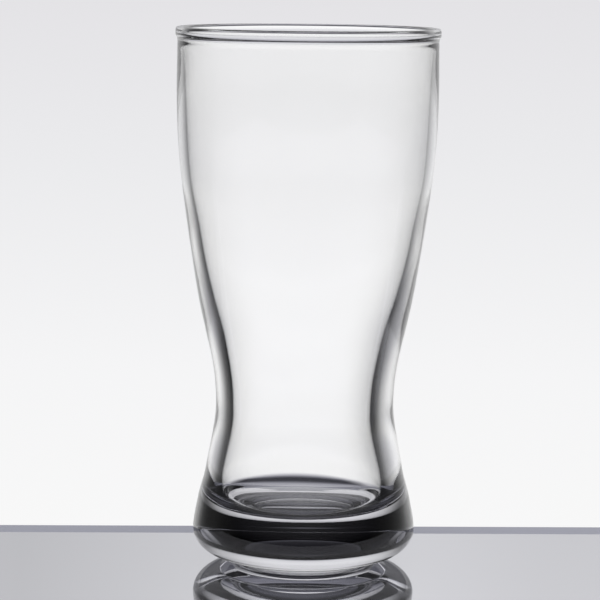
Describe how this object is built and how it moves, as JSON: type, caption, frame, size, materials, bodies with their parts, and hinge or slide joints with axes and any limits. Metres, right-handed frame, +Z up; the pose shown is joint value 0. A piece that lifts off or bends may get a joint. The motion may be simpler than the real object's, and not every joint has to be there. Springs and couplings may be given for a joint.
{
  "type": "pilsner glass",
  "caption": "Clear pilsner glass with a flared bowl, a pinched waist, a heavy bulged base on a foot ring, and a rounded lip.",
  "frame": {"origin": "centre of the foot ring, on the plane that the glass rests on", "axes": "+Z up along the axis of the glass, towards the mouth; the glass is round, so X and Y are alike"},
  "size_m": [0.076, 0.076, 0.1557],
  "materials": {
    "clear_glass": "clear, fire-polished, smooth"
  },
  "bodies": {
    "root": {"base": "clear_glass", "waist": "clear_glass", "bowl": "clear_glass", "rim": "clear_glass"}
  },
  "joints": []
}
